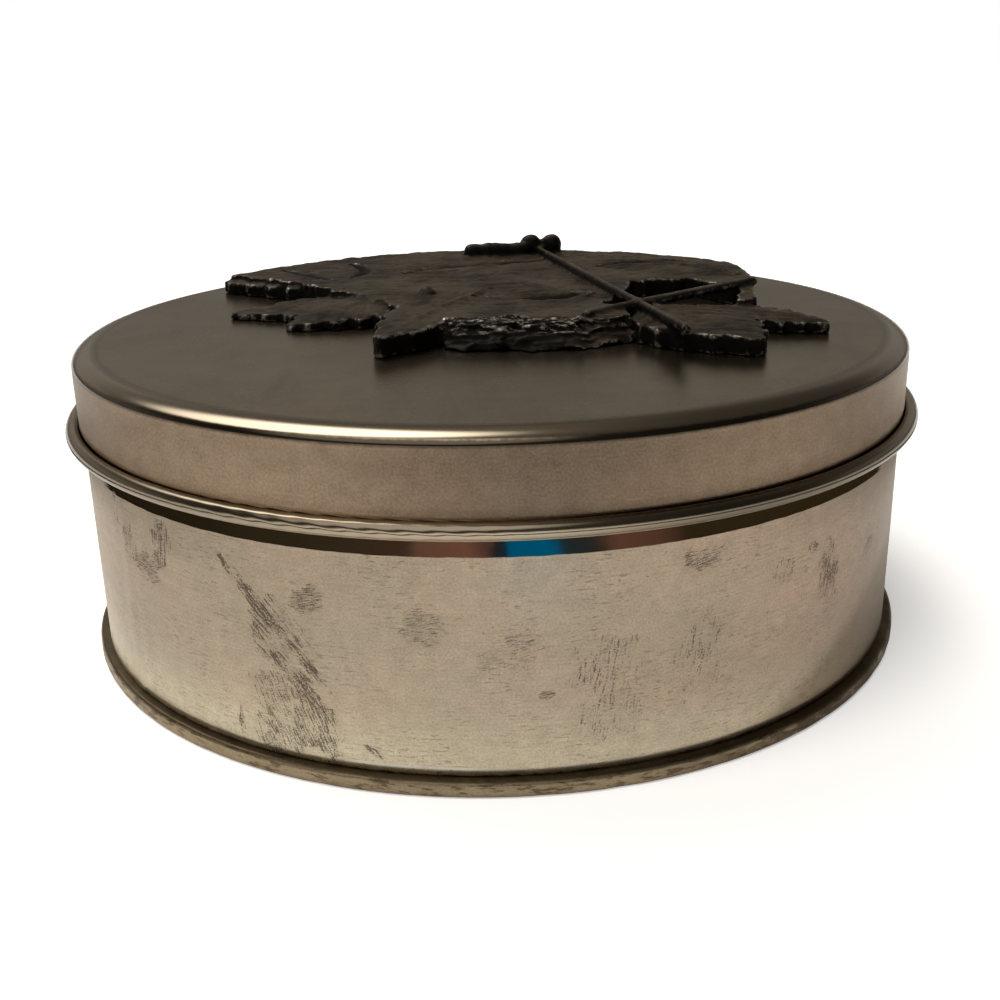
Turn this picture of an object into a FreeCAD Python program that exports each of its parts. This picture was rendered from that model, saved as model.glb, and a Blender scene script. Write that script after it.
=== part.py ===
"""Round slip-lid metal tin with a cast leaf ornament fixed on its lid.

Millimetres, +Z up, origin at the centre of the underside, front towards -Y.
The tin is shut: its body is modelled solid inside, with the true outer form.
"""

import FreeCAD
import Part

import os
from collections import namedtuple
from math import cos, degrees, hypot, pi, radians, sin

Vector = FreeCAD.Vector
UP = Vector(0, 0, 1)

# Tinplate tin
sheet = 0.28                  # thickness of the tinplate
wall_radius = 80.4            # outside of the wall
tin_height = 59.0             # underside to the top of the lid
side_seam_azimuth = 199.0     # degrees, counter-clockwise from +X
side_seam_width = 3.2
side_seam_rise = 0.12

# Base end, seamed on to the wall
seam_height = 2.95
seam_proud = 1.9              # outside the wall
seam_thickness = 2.7          # across the seam, along the radius
seam_edge_radius = 0.9
panel_step = 0.8              # the middle of the base panel lies lower by this
panel_step_radius = 62.0
panel_step_run = 1.6

# Lid
lid_clearance = 0.32          # wall to the inside of the skirt
lid_depth = 15.85             # lid top to the underside of its curl
shoulder_radius = 2.8
curl_diameter = 2.85          # outside of the rolled edge
curl_sweep = 315.0            # degrees that the edge is rolled round

# Ornament: a backing plate on the lid's panel
plate_thickness = 3.9
plate_rim_margin = 7.2        # its back edge runs this far inside the lid's flat panel
plate_rim_start = 37.0        # degrees
plate_rim_end = 147.0
plate_corners = [(-42, 27), (-24, 6), (-12, -14), (24, -14), (53, -3), (58, 28)]
window_corners = [(21, -10), (31, 20), (44, 22), (52, 8), (47, -12), (34, -16)]

# Leaves on the plate: plan points of base and tip, half width, teeth on each side, depth of a
# tooth, and how far the leaf's top stands above the plate's, or below it where it droops
Leaf = namedtuple("Leaf", "base tip half_width teeth tooth rise")
leaves = [
    Leaf((-14, 33), (-61, 38.5), 10.0, 9, 1.5, -0.6),
    Leaf((-14, 14), (-53.5, 6), 9.0, 9, 1.5, -1.2),
    Leaf((-15, 15), (-39.5, -8), 9.5, 8, 1.6, -0.6),
    Leaf((0, 14), (-20, -33), 9.0, 6, 1.3, 0.5),
    Leaf((31, -8), (47, -37.5), 10.5, 7, 1.4, 0.25),
    Leaf((41, -4), (63.5, -19.5), 6.0, 8, 1.4, -1.1),
    Leaf((55, 25), (16, 64), 9.0, 9, 1.4, 0.75),
    Leaf((20, 2), (-24, 58), 14.0, 10, 1.4, 0.5),
]
leaf_swell = 0.8              # under 1, a leaf is widest nearer its base
tooth_least = 0.35            # share of a tooth's depth left where the leaf ends
tooth_lean = 0.45             # a tooth's point lies this share of a tooth towards the tip
midrib_width = 1.6
midrib_rise = 0.35
midrib_start = 0.1            # shares of the leaf's length
midrib_end = 0.9

# Crumpled front edge between the leaves, in two tiers
Tier = namedtuple("Tier", "left right front height")
frill_tiers = [Tier(-10, 28, -21.25, 1.0), Tier(-6, 22, -28.75, 0.5)]
frill_back = -9.0
frill_taper = 2.0             # each tier is this much narrower at its back on either side
frill_waves = 5
frill_depth = 1.4
frill_uneven = 0.4            # share of the depth that comes and goes along a tier
frill_drift = 5.0             # radians that it comes and goes by

# Stems, berries, bud and knop
main_rise = 0.5               # they rest on leaves that stand this far above the plate
stem_diameter = 1.8
stem_sink = 0.4               # the first stem is let into the leaves by this, the second by twice it
stem_ends = [((12.4, 62), (34, -36.5)), ((18, -20), (55.5, 13))]
berry_diameter = 5.2
berry_sink = 1.0
berry_centres = [(10.4, 63.2), (15.5, 63.2)]
bud_diameter = 3.9
bud_sink = 0.9
bud_ends = ((8, 61), (-4.6, 61))
knop_centre = (-13, 8)
knop_diameter = 9.0
knop_tip_diameter = 1.0
knop_rise = 1.8

# Worked out from the sizes above
skirt_inner = wall_radius + lid_clearance
skirt_outer = skirt_inner + sheet
curl_radius = curl_diameter / 2
curl_centre_r = skirt_inner + curl_radius
curl_centre_z = tin_height - lid_depth + curl_radius
lid_underside = tin_height - sheet
plate_top = tin_height + plate_thickness
leaf_top = plate_top + main_rise
plate_rim_radius = skirt_outer - shoulder_radius - plate_rim_margin


def on_section(radius, height):
    """A point of the half section that is turned round the axis."""
    return Vector(radius, 0, height)


def arc_edge(centre_r, centre_z, radius, start, end):
    """An arc of the half section, by its angles in degrees."""
    angles = [radians(start), radians((start + end) / 2), radians(end)]
    points = [on_section(centre_r + radius * cos(a), centre_z + radius * sin(a)) for a in angles]
    return Part.Arc(*points).toShape()


def arc_edges(centre_r, centre_z, radius, start, end, count=4):
    """A long arc of the half section in equal shares."""
    share = (end - start) / count
    return [arc_edge(centre_r, centre_z, radius, start + i * share, start + (i + 1) * share)
            for i in range(count)]


def line_edges(points):
    """Straight edges through (radius, height) pairs."""
    ends = [on_section(r, z) for r, z in points]
    return [Part.makeLine(a, b) for a, b in zip(ends, ends[1:])]


def turned(edges):
    """The solid that a closed half section makes round the axis."""
    wire = Part.Wire(Part.__sortEdges__(edges))
    return Part.Face(wire).revolve(Vector(0, 0, 0), UP, 360)


def panel_line(drop=0.0):
    """The stepped inner face of the base panel, as (radius, height) pairs from the axis out."""
    low = seam_height - panel_step - drop
    high = seam_height - drop
    return [(0, low), (panel_step_radius, low), (panel_step_radius + panel_step_run, high)]


def make_base():
    """The stamped end: a stepped panel inside a rolled seam."""
    outer = wall_radius + seam_proud
    inner = outer - seam_thickness
    edge = seam_edge_radius
    under = panel_line(sheet) + [(inner, seam_height - sheet), (inner, edge)]
    over = panel_line() + [(outer - edge, seam_height)]
    edges = line_edges(under) + line_edges(over)
    edges += line_edges([under[0], over[0]])
    edges += line_edges([(inner + edge, 0), (outer - edge, 0)])
    edges += line_edges([(outer, edge), (outer, seam_height - edge)])
    edges.append(arc_edge(inner + edge, edge, edge, 180, 270))
    edges.append(arc_edge(outer - edge, edge, edge, 270, 360))
    edges.append(arc_edge(outer - edge, seam_height - edge, edge, 0, 90))
    return turned(edges)


def make_side_seam(top):
    """The lapped joint that runs up the wall, a shallow raised strip."""
    depth = 2 * sheet
    height = top - seam_height
    sweep = degrees(side_seam_width / wall_radius)
    outer = Part.makeCylinder(wall_radius + side_seam_rise, height, Vector(0, 0, seam_height), UP, sweep)
    core = Part.makeCylinder(wall_radius - depth, height, Vector(0, 0, seam_height))
    strip = outer.cut(core)
    strip.rotate(Vector(0, 0, 0), UP, side_seam_azimuth - sweep / 2)
    return strip


def make_body():
    """The wall, shut by the base below and reaching the lid's panel above."""
    shoulder = lid_underside - shoulder_radius
    flat = wall_radius - shoulder_radius
    edges = line_edges(panel_line() + [(wall_radius, seam_height), (wall_radius, shoulder)])
    edges.append(arc_edge(flat, shoulder, shoulder_radius, 0, 90))
    edges += line_edges([(flat, lid_underside), (0, lid_underside), panel_line()[0]])
    return turned(edges).fuse(make_side_seam(shoulder)).removeSplitter()


def make_lid():
    """One stamping: flat panel, rounded shoulder, skirt, and an edge curled outwards."""
    shoulder = tin_height - shoulder_radius
    corner = skirt_outer - shoulder_radius
    tip = 180 + curl_sweep
    hollow = curl_radius - sheet
    edges = line_edges([(corner, tin_height), (0, tin_height), (0, lid_underside), (corner, lid_underside)])
    edges.append(arc_edge(corner, shoulder, shoulder_radius, 0, 90))
    edges.append(arc_edge(corner, shoulder, shoulder_radius - sheet, 0, 90))
    edges += line_edges([(skirt_outer, shoulder), (skirt_outer, curl_centre_z)])
    edges += line_edges([(skirt_inner, shoulder), (skirt_inner, curl_centre_z)])
    edges += arc_edges(curl_centre_r, curl_centre_z, curl_radius, 180, tip)
    edges += arc_edges(curl_centre_r, curl_centre_z, hollow, 180, tip)
    tip_cos = cos(radians(tip))
    tip_sin = sin(radians(tip))
    lip = [(curl_centre_r + r * tip_cos, curl_centre_z + r * tip_sin) for r in (hollow, curl_radius)]
    edges += line_edges(lip)
    return turned(edges)


def flat_solid(outline, top):
    """A solid from the lid's top up to a height, over a closed plan outline."""
    corners = [Vector(x, y, tin_height) for x, y in outline]
    face = Part.Face(Part.makePolygon(corners + corners[:1]))
    return face.extrude(Vector(0, 0, top - tin_height))


def between(start, end, along, aside=0.0):
    """A plan point a share of the way from start to end, and a distance to its left."""
    dx = end[0] - start[0]
    dy = end[1] - start[1]
    length = hypot(dx, dy)
    x = start[0] + dx * along - dy / length * aside
    y = start[1] + dy * along + dx / length * aside
    return (x, y)


def toothed_side(base, tip, half_width, side, teeth, tooth):
    """One edge of a leaf: a swelling line whose teeth lean towards the tip."""
    points = []
    for step in range(1, teeth):
        along = step / teeth
        swell = sin(pi * along ** leaf_swell)
        reach = tooth * (tooth_least + (1 - tooth_least) * swell)
        points.append(between(base, tip, along, side * half_width * swell))
        points.append(between(base, tip, along + tooth_lean / teeth, side * (half_width * swell + reach)))
    return points


def make_leaf(leaf):
    """A flat leaf with a toothed edge and a raised midrib that narrows to its tip."""
    base, tip, half_width, teeth, tooth, rise = leaf
    top = plate_top + rise
    left = toothed_side(base, tip, half_width, 1, teeth, tooth)
    right = toothed_side(base, tip, half_width, -1, teeth, tooth)
    blade = flat_solid([base] + left + [tip] + right[::-1], top)
    rib_plan = [between(base, tip, midrib_start, midrib_width / 2), between(base, tip, midrib_end)]
    rib_plan.append(between(base, tip, midrib_start, -midrib_width / 2))
    return blade.fuse(flat_solid(rib_plan, top + midrib_rise))


def rod(start, end, height, diameter):
    """A round rod between two plan points, its ends rounded, turned from its half section."""
    radius = diameter / 2
    first = Vector(start[0], start[1], height)
    axis = Vector(end[0], end[1], height) - first
    length = axis.Length
    slant = radius * sin(pi / 4)
    points = [Vector(0, 0, -radius), Vector(slant, 0, -slant), Vector(radius, 0, 0)]
    points += [Vector(radius, 0, length), Vector(slant, 0, length + slant), Vector(0, 0, length + radius)]
    edges = [Part.Arc(*points[:3]).toShape(), Part.makeLine(points[2], points[3])]
    edges += [Part.Arc(*points[3:]).toShape(), Part.makeLine(points[5], points[0])]
    solid = Part.Face(Part.Wire(edges)).revolve(Vector(0, 0, 0), UP, 360)
    solid.Placement = FreeCAD.Placement(first, FreeCAD.Rotation(UP, axis))
    return solid


def rim_point(angle):
    """A plan point on the plate's back edge, by its angle in degrees."""
    return (plate_rim_radius * cos(radians(angle)), plate_rim_radius * sin(radians(angle)))


def make_plate():
    """The backing plate: an arc along the rim, closed by straight cut sides, with a window."""
    start = rim_point(plate_rim_start)
    middle = rim_point((plate_rim_start + plate_rim_end) / 2)
    end = rim_point(plate_rim_end)
    sides = [end] + plate_corners + [start]
    rim = Part.Arc(*[Vector(x, y, tin_height) for x, y in (start, middle, end)]).toShape()
    cuts = Part.makePolygon([Vector(x, y, tin_height) for x, y in sides])
    plate = Part.Face(Part.Wire([rim] + cuts.Edges)).extrude(Vector(0, 0, plate_thickness))
    return plate.cut(flat_solid(window_corners, plate_top))


def make_frill_tier(tier):
    """One tier of the crumpled front edge, a block whose front waves in and out."""
    start = (tier.left, tier.front)
    end = (tier.right, tier.front)
    steps = 4 * frill_waves
    front = []
    for i in range(steps + 1):
        along = i / steps
        fading = 1 - frill_uneven * (1 - sin(frill_drift * along))
        swing = sin(2 * pi * frill_waves * along + tier.front) * fading
        front.append(between(start, end, along, -frill_depth * swing))
    back = [(tier.right - frill_taper, frill_back), (tier.left + frill_taper, frill_back)]
    return flat_solid(front + back, tin_height + (leaf_top - tin_height) * tier.height)


def make_stems():
    """The crossed stems: the second lies lower, so that it passes into the first."""
    height = leaf_top + stem_diameter / 2
    return [rod(*ends, height - stem_sink * (i + 1), stem_diameter) for i, ends in enumerate(stem_ends)]


def make_ornament():
    """The whole casting as one solid."""
    pieces = [make_frill_tier(tier) for tier in frill_tiers]
    pieces += [make_leaf(leaf) for leaf in leaves]
    pieces += make_stems()
    berry_height = leaf_top + berry_diameter / 2 - berry_sink
    pieces += [Part.makeSphere(berry_diameter / 2, Vector(x, y, berry_height)) for x, y in berry_centres]
    pieces.append(rod(*bud_ends, plate_top + bud_diameter / 2 - bud_sink, bud_diameter))
    knop_base = Vector(*knop_centre, plate_top)
    pieces.append(Part.makeCone(knop_diameter / 2, knop_tip_diameter / 2, knop_rise, knop_base))
    return make_plate().multiFuse(pieces).removeSplitter()


def main():
    os.makedirs("parts", exist_ok=True)
    nodes = {"body": make_body(), "base": make_base(), "lid": make_lid(), "ornament": make_ornament()}
    for name, shape in nodes.items():
        box = shape.BoundBox
        print(name, len(shape.Solids), "solid", "valid" if shape.isValid() else "INVALID")
        print("  z", round(box.ZMin, 3), round(box.ZMax, 3), "x", round(box.XMin, 2), round(box.XMax, 2))
        shape.exportStep("parts/" + name + ".step")


main()
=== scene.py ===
"""Round slip-lid metal tin with a dark cast leaf ornament on its lid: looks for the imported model."""

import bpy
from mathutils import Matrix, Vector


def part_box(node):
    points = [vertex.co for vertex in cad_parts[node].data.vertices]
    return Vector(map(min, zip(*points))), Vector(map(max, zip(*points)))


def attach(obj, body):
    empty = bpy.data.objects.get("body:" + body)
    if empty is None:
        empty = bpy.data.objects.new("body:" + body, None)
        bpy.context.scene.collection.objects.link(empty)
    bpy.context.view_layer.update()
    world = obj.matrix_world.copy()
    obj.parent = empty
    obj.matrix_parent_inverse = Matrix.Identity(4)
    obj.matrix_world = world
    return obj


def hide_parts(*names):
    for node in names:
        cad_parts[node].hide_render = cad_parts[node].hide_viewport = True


bl_info = {
    "name": "Slip-lid tin",
    "version": (1, 0, 0),
    "blender": (4, 5, 0),
    "location": "View3D > Sidebar > Tin",
    "description": "Builds the turned metal, the cast ornament and the stage of a round slip-lid tin",
    "category": "Add Mesh",
}

from collections import namedtuple
from math import cos, hypot, pi, radians, sin, tau

import bmesh
import bpy
import numpy as np
from bpy.props import FloatProperty, FloatVectorProperty, IntProperty, PointerProperty
from mathutils import Matrix, Vector, noise

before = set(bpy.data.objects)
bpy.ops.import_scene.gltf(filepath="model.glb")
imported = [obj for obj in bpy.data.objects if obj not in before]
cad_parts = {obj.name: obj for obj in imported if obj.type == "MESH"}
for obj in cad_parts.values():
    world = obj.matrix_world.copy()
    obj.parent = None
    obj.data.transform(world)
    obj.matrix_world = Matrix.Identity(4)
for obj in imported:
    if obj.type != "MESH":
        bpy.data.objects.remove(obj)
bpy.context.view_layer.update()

MM = 0.001
BODY = "root"
_, wall_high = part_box("body")
_, base_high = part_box("base")
lid_low, lid_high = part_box("lid")
cast_low, cast_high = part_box("ornament")
WALL_TOP = wall_high.z / MM
LID_TOP = lid_high.z / MM
LID_FOOT = lid_low.z / MM
SEAM_RADIUS = base_high.x / MM
SEAM_TOP = base_high.z / MM

Leaf = namedtuple("Leaf", "base tip half_width teeth tooth top curl seed")
Mark = namedtuple("Mark", "azimuth height half_width half_height lean scratch amount")
Scratch = namedtuple("Scratch", "lean spacing")


# ---------------------------------------------------------------- settings

def number(name, default, about):
    return FloatProperty(name=name, description=about, default=default)


def paint(name, default, about):
    return FloatVectorProperty(name=name, description=about, subtype="COLOR", default=default)


class TinSizes(bpy.types.PropertyGroup):
    """Sizes of the tin, in millimetres"""
    wall_radius: number("Wall radius", 80.4, "Outside of the wall")
    sheet: number("Sheet", 0.28, "Thickness of the tinplate")
    lid_gap: number("Lid gap", 0.32, "Wall to the inside of the skirt")
    shoulder: number("Shoulder", 2.8, "Radius of the wall's edge under the lid")
    curl: number("Curl", 2.85, "Outside of the rolled edge")
    curl_turn: number("Curl turn", 315.0, "How far the edge is rolled, in degrees")
    bright_low: number("Bright strip", 39.6, "Lower edge of the bright strip")
    seam_edge: number("Seam edge", 0.9, "Rounding of the base seam")
    seam_width: number("Seam width", 2.7, "Base seam along the radius")
    panel_step: number("Panel step", 0.8, "Drop of the base panel")
    panel_radius: number("Panel radius", 62.0, "Radius of the dropped panel")
    panel_run: number("Panel run", 1.6, "Width of the slope round it")
    rim_radius: number("Ornament rim", 71.0, "Radius of its back edge")
    plate: number("Ornament plate", 3.9, "Thickness of the backing plate")
    stem: number("Stem", 1.8, "Thickness of a stem")
    berry: number("Berry", 5.2, "Size of a berry")
    crown: number("Crown", 4.6, "Width of the lid's rounding")
    crown_drop: number("Crown drop", 2.1, "Height of the lid's rounding")
    segments: IntProperty(name="Segments", description="Divisions round the tin", default=480)


class TinColours(bpy.types.PropertyGroup):
    """Colours of the tin's finishes"""
    wall: paint("Wall", (0.475, 0.405, 0.308), "Satin tinplate of the wall")
    wall_cloud: paint("Wall cloud", (0.485, 0.385, 0.295), "Warmer patches of the wall")
    wall_foot: paint("Wall foot", (0.49, 0.435, 0.33), "Yellower tinplate near the base")
    wall_right: paint("Wall right", (1.0, 0.93, 0.92), "Tint over the right side of the wall")
    # Painted reflection of the tin's shadow on the floor, at the lower right of the wall
    olive_shadow_reflection: paint("Olive", (0.13, 0.09, 0.03), "Shade at the lower right of the wall")
    clean: paint("Clean", (0.74, 0.67, 0.58), "Bright strip that the lid covered")
    # Painted highlight: a fine line of light over the seam
    painted_glint: paint("Glint", (0.92, 0.90, 0.84), "Fine line of light over the seam")
    # Painted shade in the groove where the wall meets the seam
    groove: paint("Groove", (0.05, 0.04, 0.022), "Dirt between the wall and the seam")
    dashes: paint("Dashes", (0.17, 0.12, 0.08), "Short dark dashes on the wall")
    rust: paint("Rust", (0.27, 0.15, 0.11), "Faint rust specks on the wall")
    soot: paint("Soot", (0.10, 0.074, 0.054), "Grey of scuffs and smudges")
    skirt: paint("Skirt", (0.33, 0.25, 0.178), "Satin tinplate of the lid's side")
    panel: paint("Lid top", (0.272, 0.222, 0.158), "Dull tinplate of the lid's top")
    panel_cloud: paint("Lid top cloud", (0.213, 0.167, 0.113), "Darker patches of the lid's top")
    panel_wiped: paint("Lid top wiped", (0.115, 0.094, 0.07), "Wiped streaks on the lid's top")
    # Painted shade: the lid's top darker towards its back
    panel_back_shade: paint("Lid top far", (0.62, 0.60, 0.57), "Tint towards the back of the lid's top")
    bent: paint("Bent", (0.50, 0.425, 0.32), "Smoother metal of the shoulder and curl")
    # Painted shade lines by the shoulder, round the panel's edge and in the crease over the curl
    shade_lines: paint("Shading", (0.035, 0.027, 0.02), "Dirt in the lid's creases")
    seam: paint("Seam", (0.42, 0.34, 0.225), "Tan side of the base seam")
    seam_foot: paint("Seam foot", (0.20, 0.125, 0.065), "Browned foot of the seam")
    seam_blotch: paint("Seam blotch", (0.075, 0.045, 0.022), "Dark blotches at its right")
    # Painted shade on the seam's top, in the groove under the wall
    seam_top_shade: paint("Seam top", (0.085, 0.065, 0.037), "Dirt that lies on the seam")
    tarnish: paint("Tarnish", (0.10, 0.06, 0.03), "Brown flecks of the worn seam")
    cast_dust: paint("Casting dust", (0.052, 0.040, 0.028), "Dusty flats of the ornament")
    cast_flat: paint("Casting flats", (0.017, 0.013, 0.009), "Dark flats of the ornament")
    # Painted shade: the ornament's sides and crumpled front go black while its flats stay lighter
    cast_side_shade: paint("Casting sides", (0.006, 0.005, 0.004), "Black sides of the ornament")
    cast_hollow: paint("Casting hollows", (0.008, 0.006, 0.005), "Hollows of the ornament")
    cast_edge: paint("Casting edges", (0.42, 0.385, 0.335), "Metal that shows at rubbed edges")


def sizes():
    return bpy.context.scene.tin_sizes


def colours():
    return bpy.context.scene.tin_colours


# ---------------------------------------------------------------- node graphs

class Graph:
    """Adds nodes to a tree; a value given to an input may be a number, a colour or a socket."""

    def __init__(self, tree):
        self.tree = tree

    def node(self, kind, values=None, **settings):
        made = self.tree.nodes.new(kind)
        for name, value in settings.items():
            setattr(made, name, value)
        for key, value in (values or {}).items():
            self.feed(made.inputs[key], value)
        return made

    def feed(self, socket, value):
        if isinstance(value, bpy.types.NodeSocket):
            self.tree.links.new(value, socket)
        elif value is not None:
            socket.default_value = value

    def math(self, operation, a, b=None):
        return self.node("ShaderNodeMath", {0: a, 1: b}, operation=operation).outputs[0]

    def times(self, a, *others):
        for other in others:
            a = self.math("MULTIPLY", a, other)
        return a

    def plus(self, a, b):
        return self.math("ADD", a, b)

    def minus(self, a, b):
        return self.math("SUBTRACT", a, b)

    def over(self, a, b):
        return self.math("DIVIDE", a, b)

    def most(self, a, b):
        return self.math("MAXIMUM", a, b)

    def leaning(self, x, y, lean):
        """The directions x and y turned by lean radians: along it and across it."""
        c, s = self.math("COSINE", lean), self.math("SINE", lean)
        return (self.plus(self.times(x, c), self.times(y, s)),
                self.minus(self.times(y, c), self.times(x, s)))

    def vector(self, operation, a, b=None):
        return self.node("ShaderNodeVectorMath", {0: a, 1: b}, operation=operation).outputs[0]

    def combine(self, x, y, z):
        return self.node("ShaderNodeCombineXYZ", {0: x, 1: y, 2: z}).outputs[0]

    def split(self, vector):
        return self.node("ShaderNodeSeparateXYZ", {0: vector}).outputs

    def ramp(self, value, low, high, to_low=0.0, to_high=1.0):
        """A smooth step of the value from low to high; low may be the greater."""
        made = self.node("ShaderNodeMapRange", {0: value, 1: low, 2: high, 3: to_low, 4: to_high},
                         interpolation_type="SMOOTHSTEP")
        return made.outputs[0]

    def noise(self, vector, scale, detail=2.0, roughness=0.5):
        """Noise with one scale, or with its own along each axis."""
        if isinstance(scale, tuple):
            vector, scale = self.vector("MULTIPLY", vector, scale), 1.0
        values = {"Vector": vector, "Scale": scale, "Detail": detail, "Roughness": roughness}
        return self.node("ShaderNodeTexNoise", values).outputs["Fac"]

    def spots(self, vector, scale, low, high, detail=2.0, roughness=0.5):
        """1 where the noise is over high, 0 where it is under low."""
        return self.ramp(self.noise(vector, scale, detail, roughness), low, high)

    def band(self, value, rise_from, rise_to, fall_from, fall_to):
        """1 between a soft rise and a soft fall of the value, 0 outside them."""
        return self.times(self.ramp(value, rise_from, rise_to), self.ramp(value, fall_to, fall_from))

    def mix(self, factor, a, b, blend="MIX"):
        made = self.tree.nodes.new("ShaderNodeMix")
        made.data_type = "RGBA"
        made.blend_type = blend
        for socket, value in ((made.inputs[0], factor), (made.inputs[6], a), (made.inputs[7], b)):
            if not isinstance(value, (bpy.types.NodeSocket, float)):
                value = (*value[:3], 1.0)
            self.feed(socket, value)
        return made.outputs[2]

    def coats(self, colour, *layers):
        """A colour under layers, each a mask, its strength and its own colour."""
        for mask, strength, over in layers:
            colour = self.mix(self.times(mask, strength), colour, over)
        return colour

    def shaded(self, colour, shade):
        """A colour times a plain value."""
        return self.mix(1.0, colour, self.combine(shade, shade, shade), "MULTIPLY")

    def object_mm(self):
        """Object coordinates in millimetres."""
        coords = self.node("ShaderNodeTexCoord").outputs["Object"]
        return self.vector("MULTIPLY", coords, (1 / MM, 1 / MM, 1 / MM))

    def normal_up(self):
        """How far the surface faces up, -1 to 1."""
        return self.split(self.node("ShaderNodeNewGeometry").outputs["Normal"])[2]

    def group(self, tree, values=None):
        made = self.tree.nodes.new("ShaderNodeGroup")
        made.node_tree = tree
        for key, value in (values or {}).items():
            self.feed(made.inputs[key], value)
        return made.outputs


def socket_type(label):
    """A socket called Place is a vector, any other a number."""
    return "NodeSocketVector" if label == "Place" else "NodeSocketFloat"


def shader_group(name, inputs, outputs):
    """A new shader node group, its graph, and its input and output sockets.

    inputs gives each input's default by its name, and outputs is the names of the outputs.
    """
    tree = bpy.data.node_groups.new(name, "ShaderNodeTree")
    for label, default in inputs.items():
        socket = tree.interface.new_socket(name=label, in_out="INPUT", socket_type=socket_type(label))
        if default is not None:
            socket.default_value = default
    for label in outputs:
        tree.interface.new_socket(name=label, in_out="OUTPUT", socket_type=socket_type(label))
    graph = Graph(tree)
    entry = tree.nodes.new("NodeGroupInput")
    leave = tree.nodes.new("NodeGroupOutput")
    return tree, graph, entry.outputs, leave.inputs


def wrapped_group():
    """Millimetres round the wall from the front, height and radius, from object coordinates."""
    tree, g, _, out = shader_group("Round the axis", {}, ("Place", "Arc", "Height", "Radius"))
    x, y, z = g.split(g.object_mm())
    arc = g.times(g.math("ARCTAN2", x, g.times(y, -1.0)), sizes().wall_radius)
    radius = g.math("SQRT", g.plus(g.times(x, x), g.times(y, y)))
    g.feed(out["Place"], g.combine(arc, z, radius))
    g.feed(out["Arc"], arc)
    g.feed(out["Height"], z)
    g.feed(out["Radius"], radius)
    return tree


def grain_group():
    """Fine speckle of a satin metal: a value round 1."""
    inputs = {"Place": None, "Size": 0.4, "Depth": 0.1}
    tree, g, use, out = shader_group("Metal grain", inputs, ("Shade", "Height"))
    scale = g.over(1.0, use["Size"])
    fine = g.noise(use["Place"], scale, 3.0, 0.6)
    broad = g.noise(use["Place"], g.times(scale, 0.13), 3.0, 0.55)
    mean = 0.75
    centred = g.minus(g.plus(fine, g.times(broad, 0.5)), mean)
    swing = g.times(centred, g.times(use["Depth"], 4.0))
    g.feed(out["Shade"], g.plus(swing, 1.0))
    g.feed(out["Height"], fine)
    return tree


def hairline_group():
    """Long fine lines that run round the tin: a value round 1."""
    tree, g, use, out = shader_group("Hair lines", {"Place": None, "Depth": 0.1}, ("Shade",))
    lines = g.noise(use["Place"], (0.05, 3.2, 0.0), 4.0, 0.65)
    gaps = g.noise(use["Place"], (0.03, 0.12, 0.0))
    depth = g.times(use["Depth"], g.ramp(gaps, 0.3, 0.7, 0.5, 3.2))
    g.feed(out["Shade"], g.plus(g.times(g.minus(lines, 0.5), depth), 1.0))
    return tree


def patch_group():
    """A soft leaning oval on the unrolled wall, for a scuff or a smudge: 1 inside, 0 outside."""
    inputs = {"Place": None, "Arc": 0.0, "Height": 20.0, "Half width": 5.0, "Half height": 5.0, "Lean": 0.0}
    tree, g, use, out = shader_group("Rubbed patch", inputs, ("Mask",))
    x, y, _ = g.split(use["Place"])
    along, across = g.leaning(g.minus(x, use["Arc"]), g.minus(y, use["Height"]), use["Lean"])
    u = g.over(along, use["Half width"])
    v = g.over(across, use["Half height"])
    reach = g.math("SQRT", g.plus(g.times(u, u), g.times(v, v)))
    ragged = g.noise(use["Place"], 0.35, 4.0, 0.6)
    reach = g.plus(reach, g.times(g.minus(ragged, 0.5), 1.3))
    g.feed(out["Mask"], g.ramp(reach, 0.45, 1.05, 1.0, 0.0))
    return tree


def streak_group():
    """Fine broken scratches that lean one way: 1 on a scratch, 0 between them."""
    inputs = {"Place": None, "Lean": 0.0, "Spacing": 0.5, "Amount": 0.5}
    tree, g, use, out = shader_group("Scratches", inputs, ("Mask",))
    x, y, _ = g.split(use["Place"])
    along, across = g.leaning(x, y, use["Lean"])
    scale = g.over(1.0, use["Spacing"])
    place = g.combine(g.times(along, g.times(scale, 0.13)), g.times(across, scale), 0.0)
    lines = g.noise(place, 1.0, 3.0, 0.6)
    specks = g.noise(use["Place"], g.times(scale, 1.3), 3.0, 0.7)
    both = g.plus(g.times(lines, 0.5), g.times(specks, 0.5))
    edge = g.minus(0.79, g.times(use["Amount"], 0.4))
    g.feed(out["Mask"], g.ramp(both, g.plus(edge, 0.02), g.plus(edge, 0.08)))
    return tree


def tone_group(name, tones, reach):
    """A tone that follows a value, from pairs of value and tone; the value runs from -reach to reach."""
    tree, g, use, out = shader_group(name, {"Value": 0.0}, ("Tone",))
    place = g.plus(g.over(use["Value"], 2 * reach), 0.5)
    ramp = g.node("ShaderNodeValToRGB", {"Fac": place})
    fill_ramp(ramp, [(0.5 + value / (2 * reach), (tone / 2,) * 3) for value, tone in tones], "B_SPLINE")
    g.feed(out["Tone"], g.times(ramp.outputs["Color"], 2.0))
    return tree


def fill_ramp(ramp, stops, interpolation="LINEAR"):
    """Sets a colour ramp's stops from pairs of place and colour."""
    elements = ramp.color_ramp.elements
    ramp.color_ramp.interpolation = interpolation
    elements.remove(elements[1])
    for number, (place, colour) in enumerate(stops):
        element = elements[0] if number == 0 else elements.new(place)
        element.position = place
        element.color = (*colour, 1.0)
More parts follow.
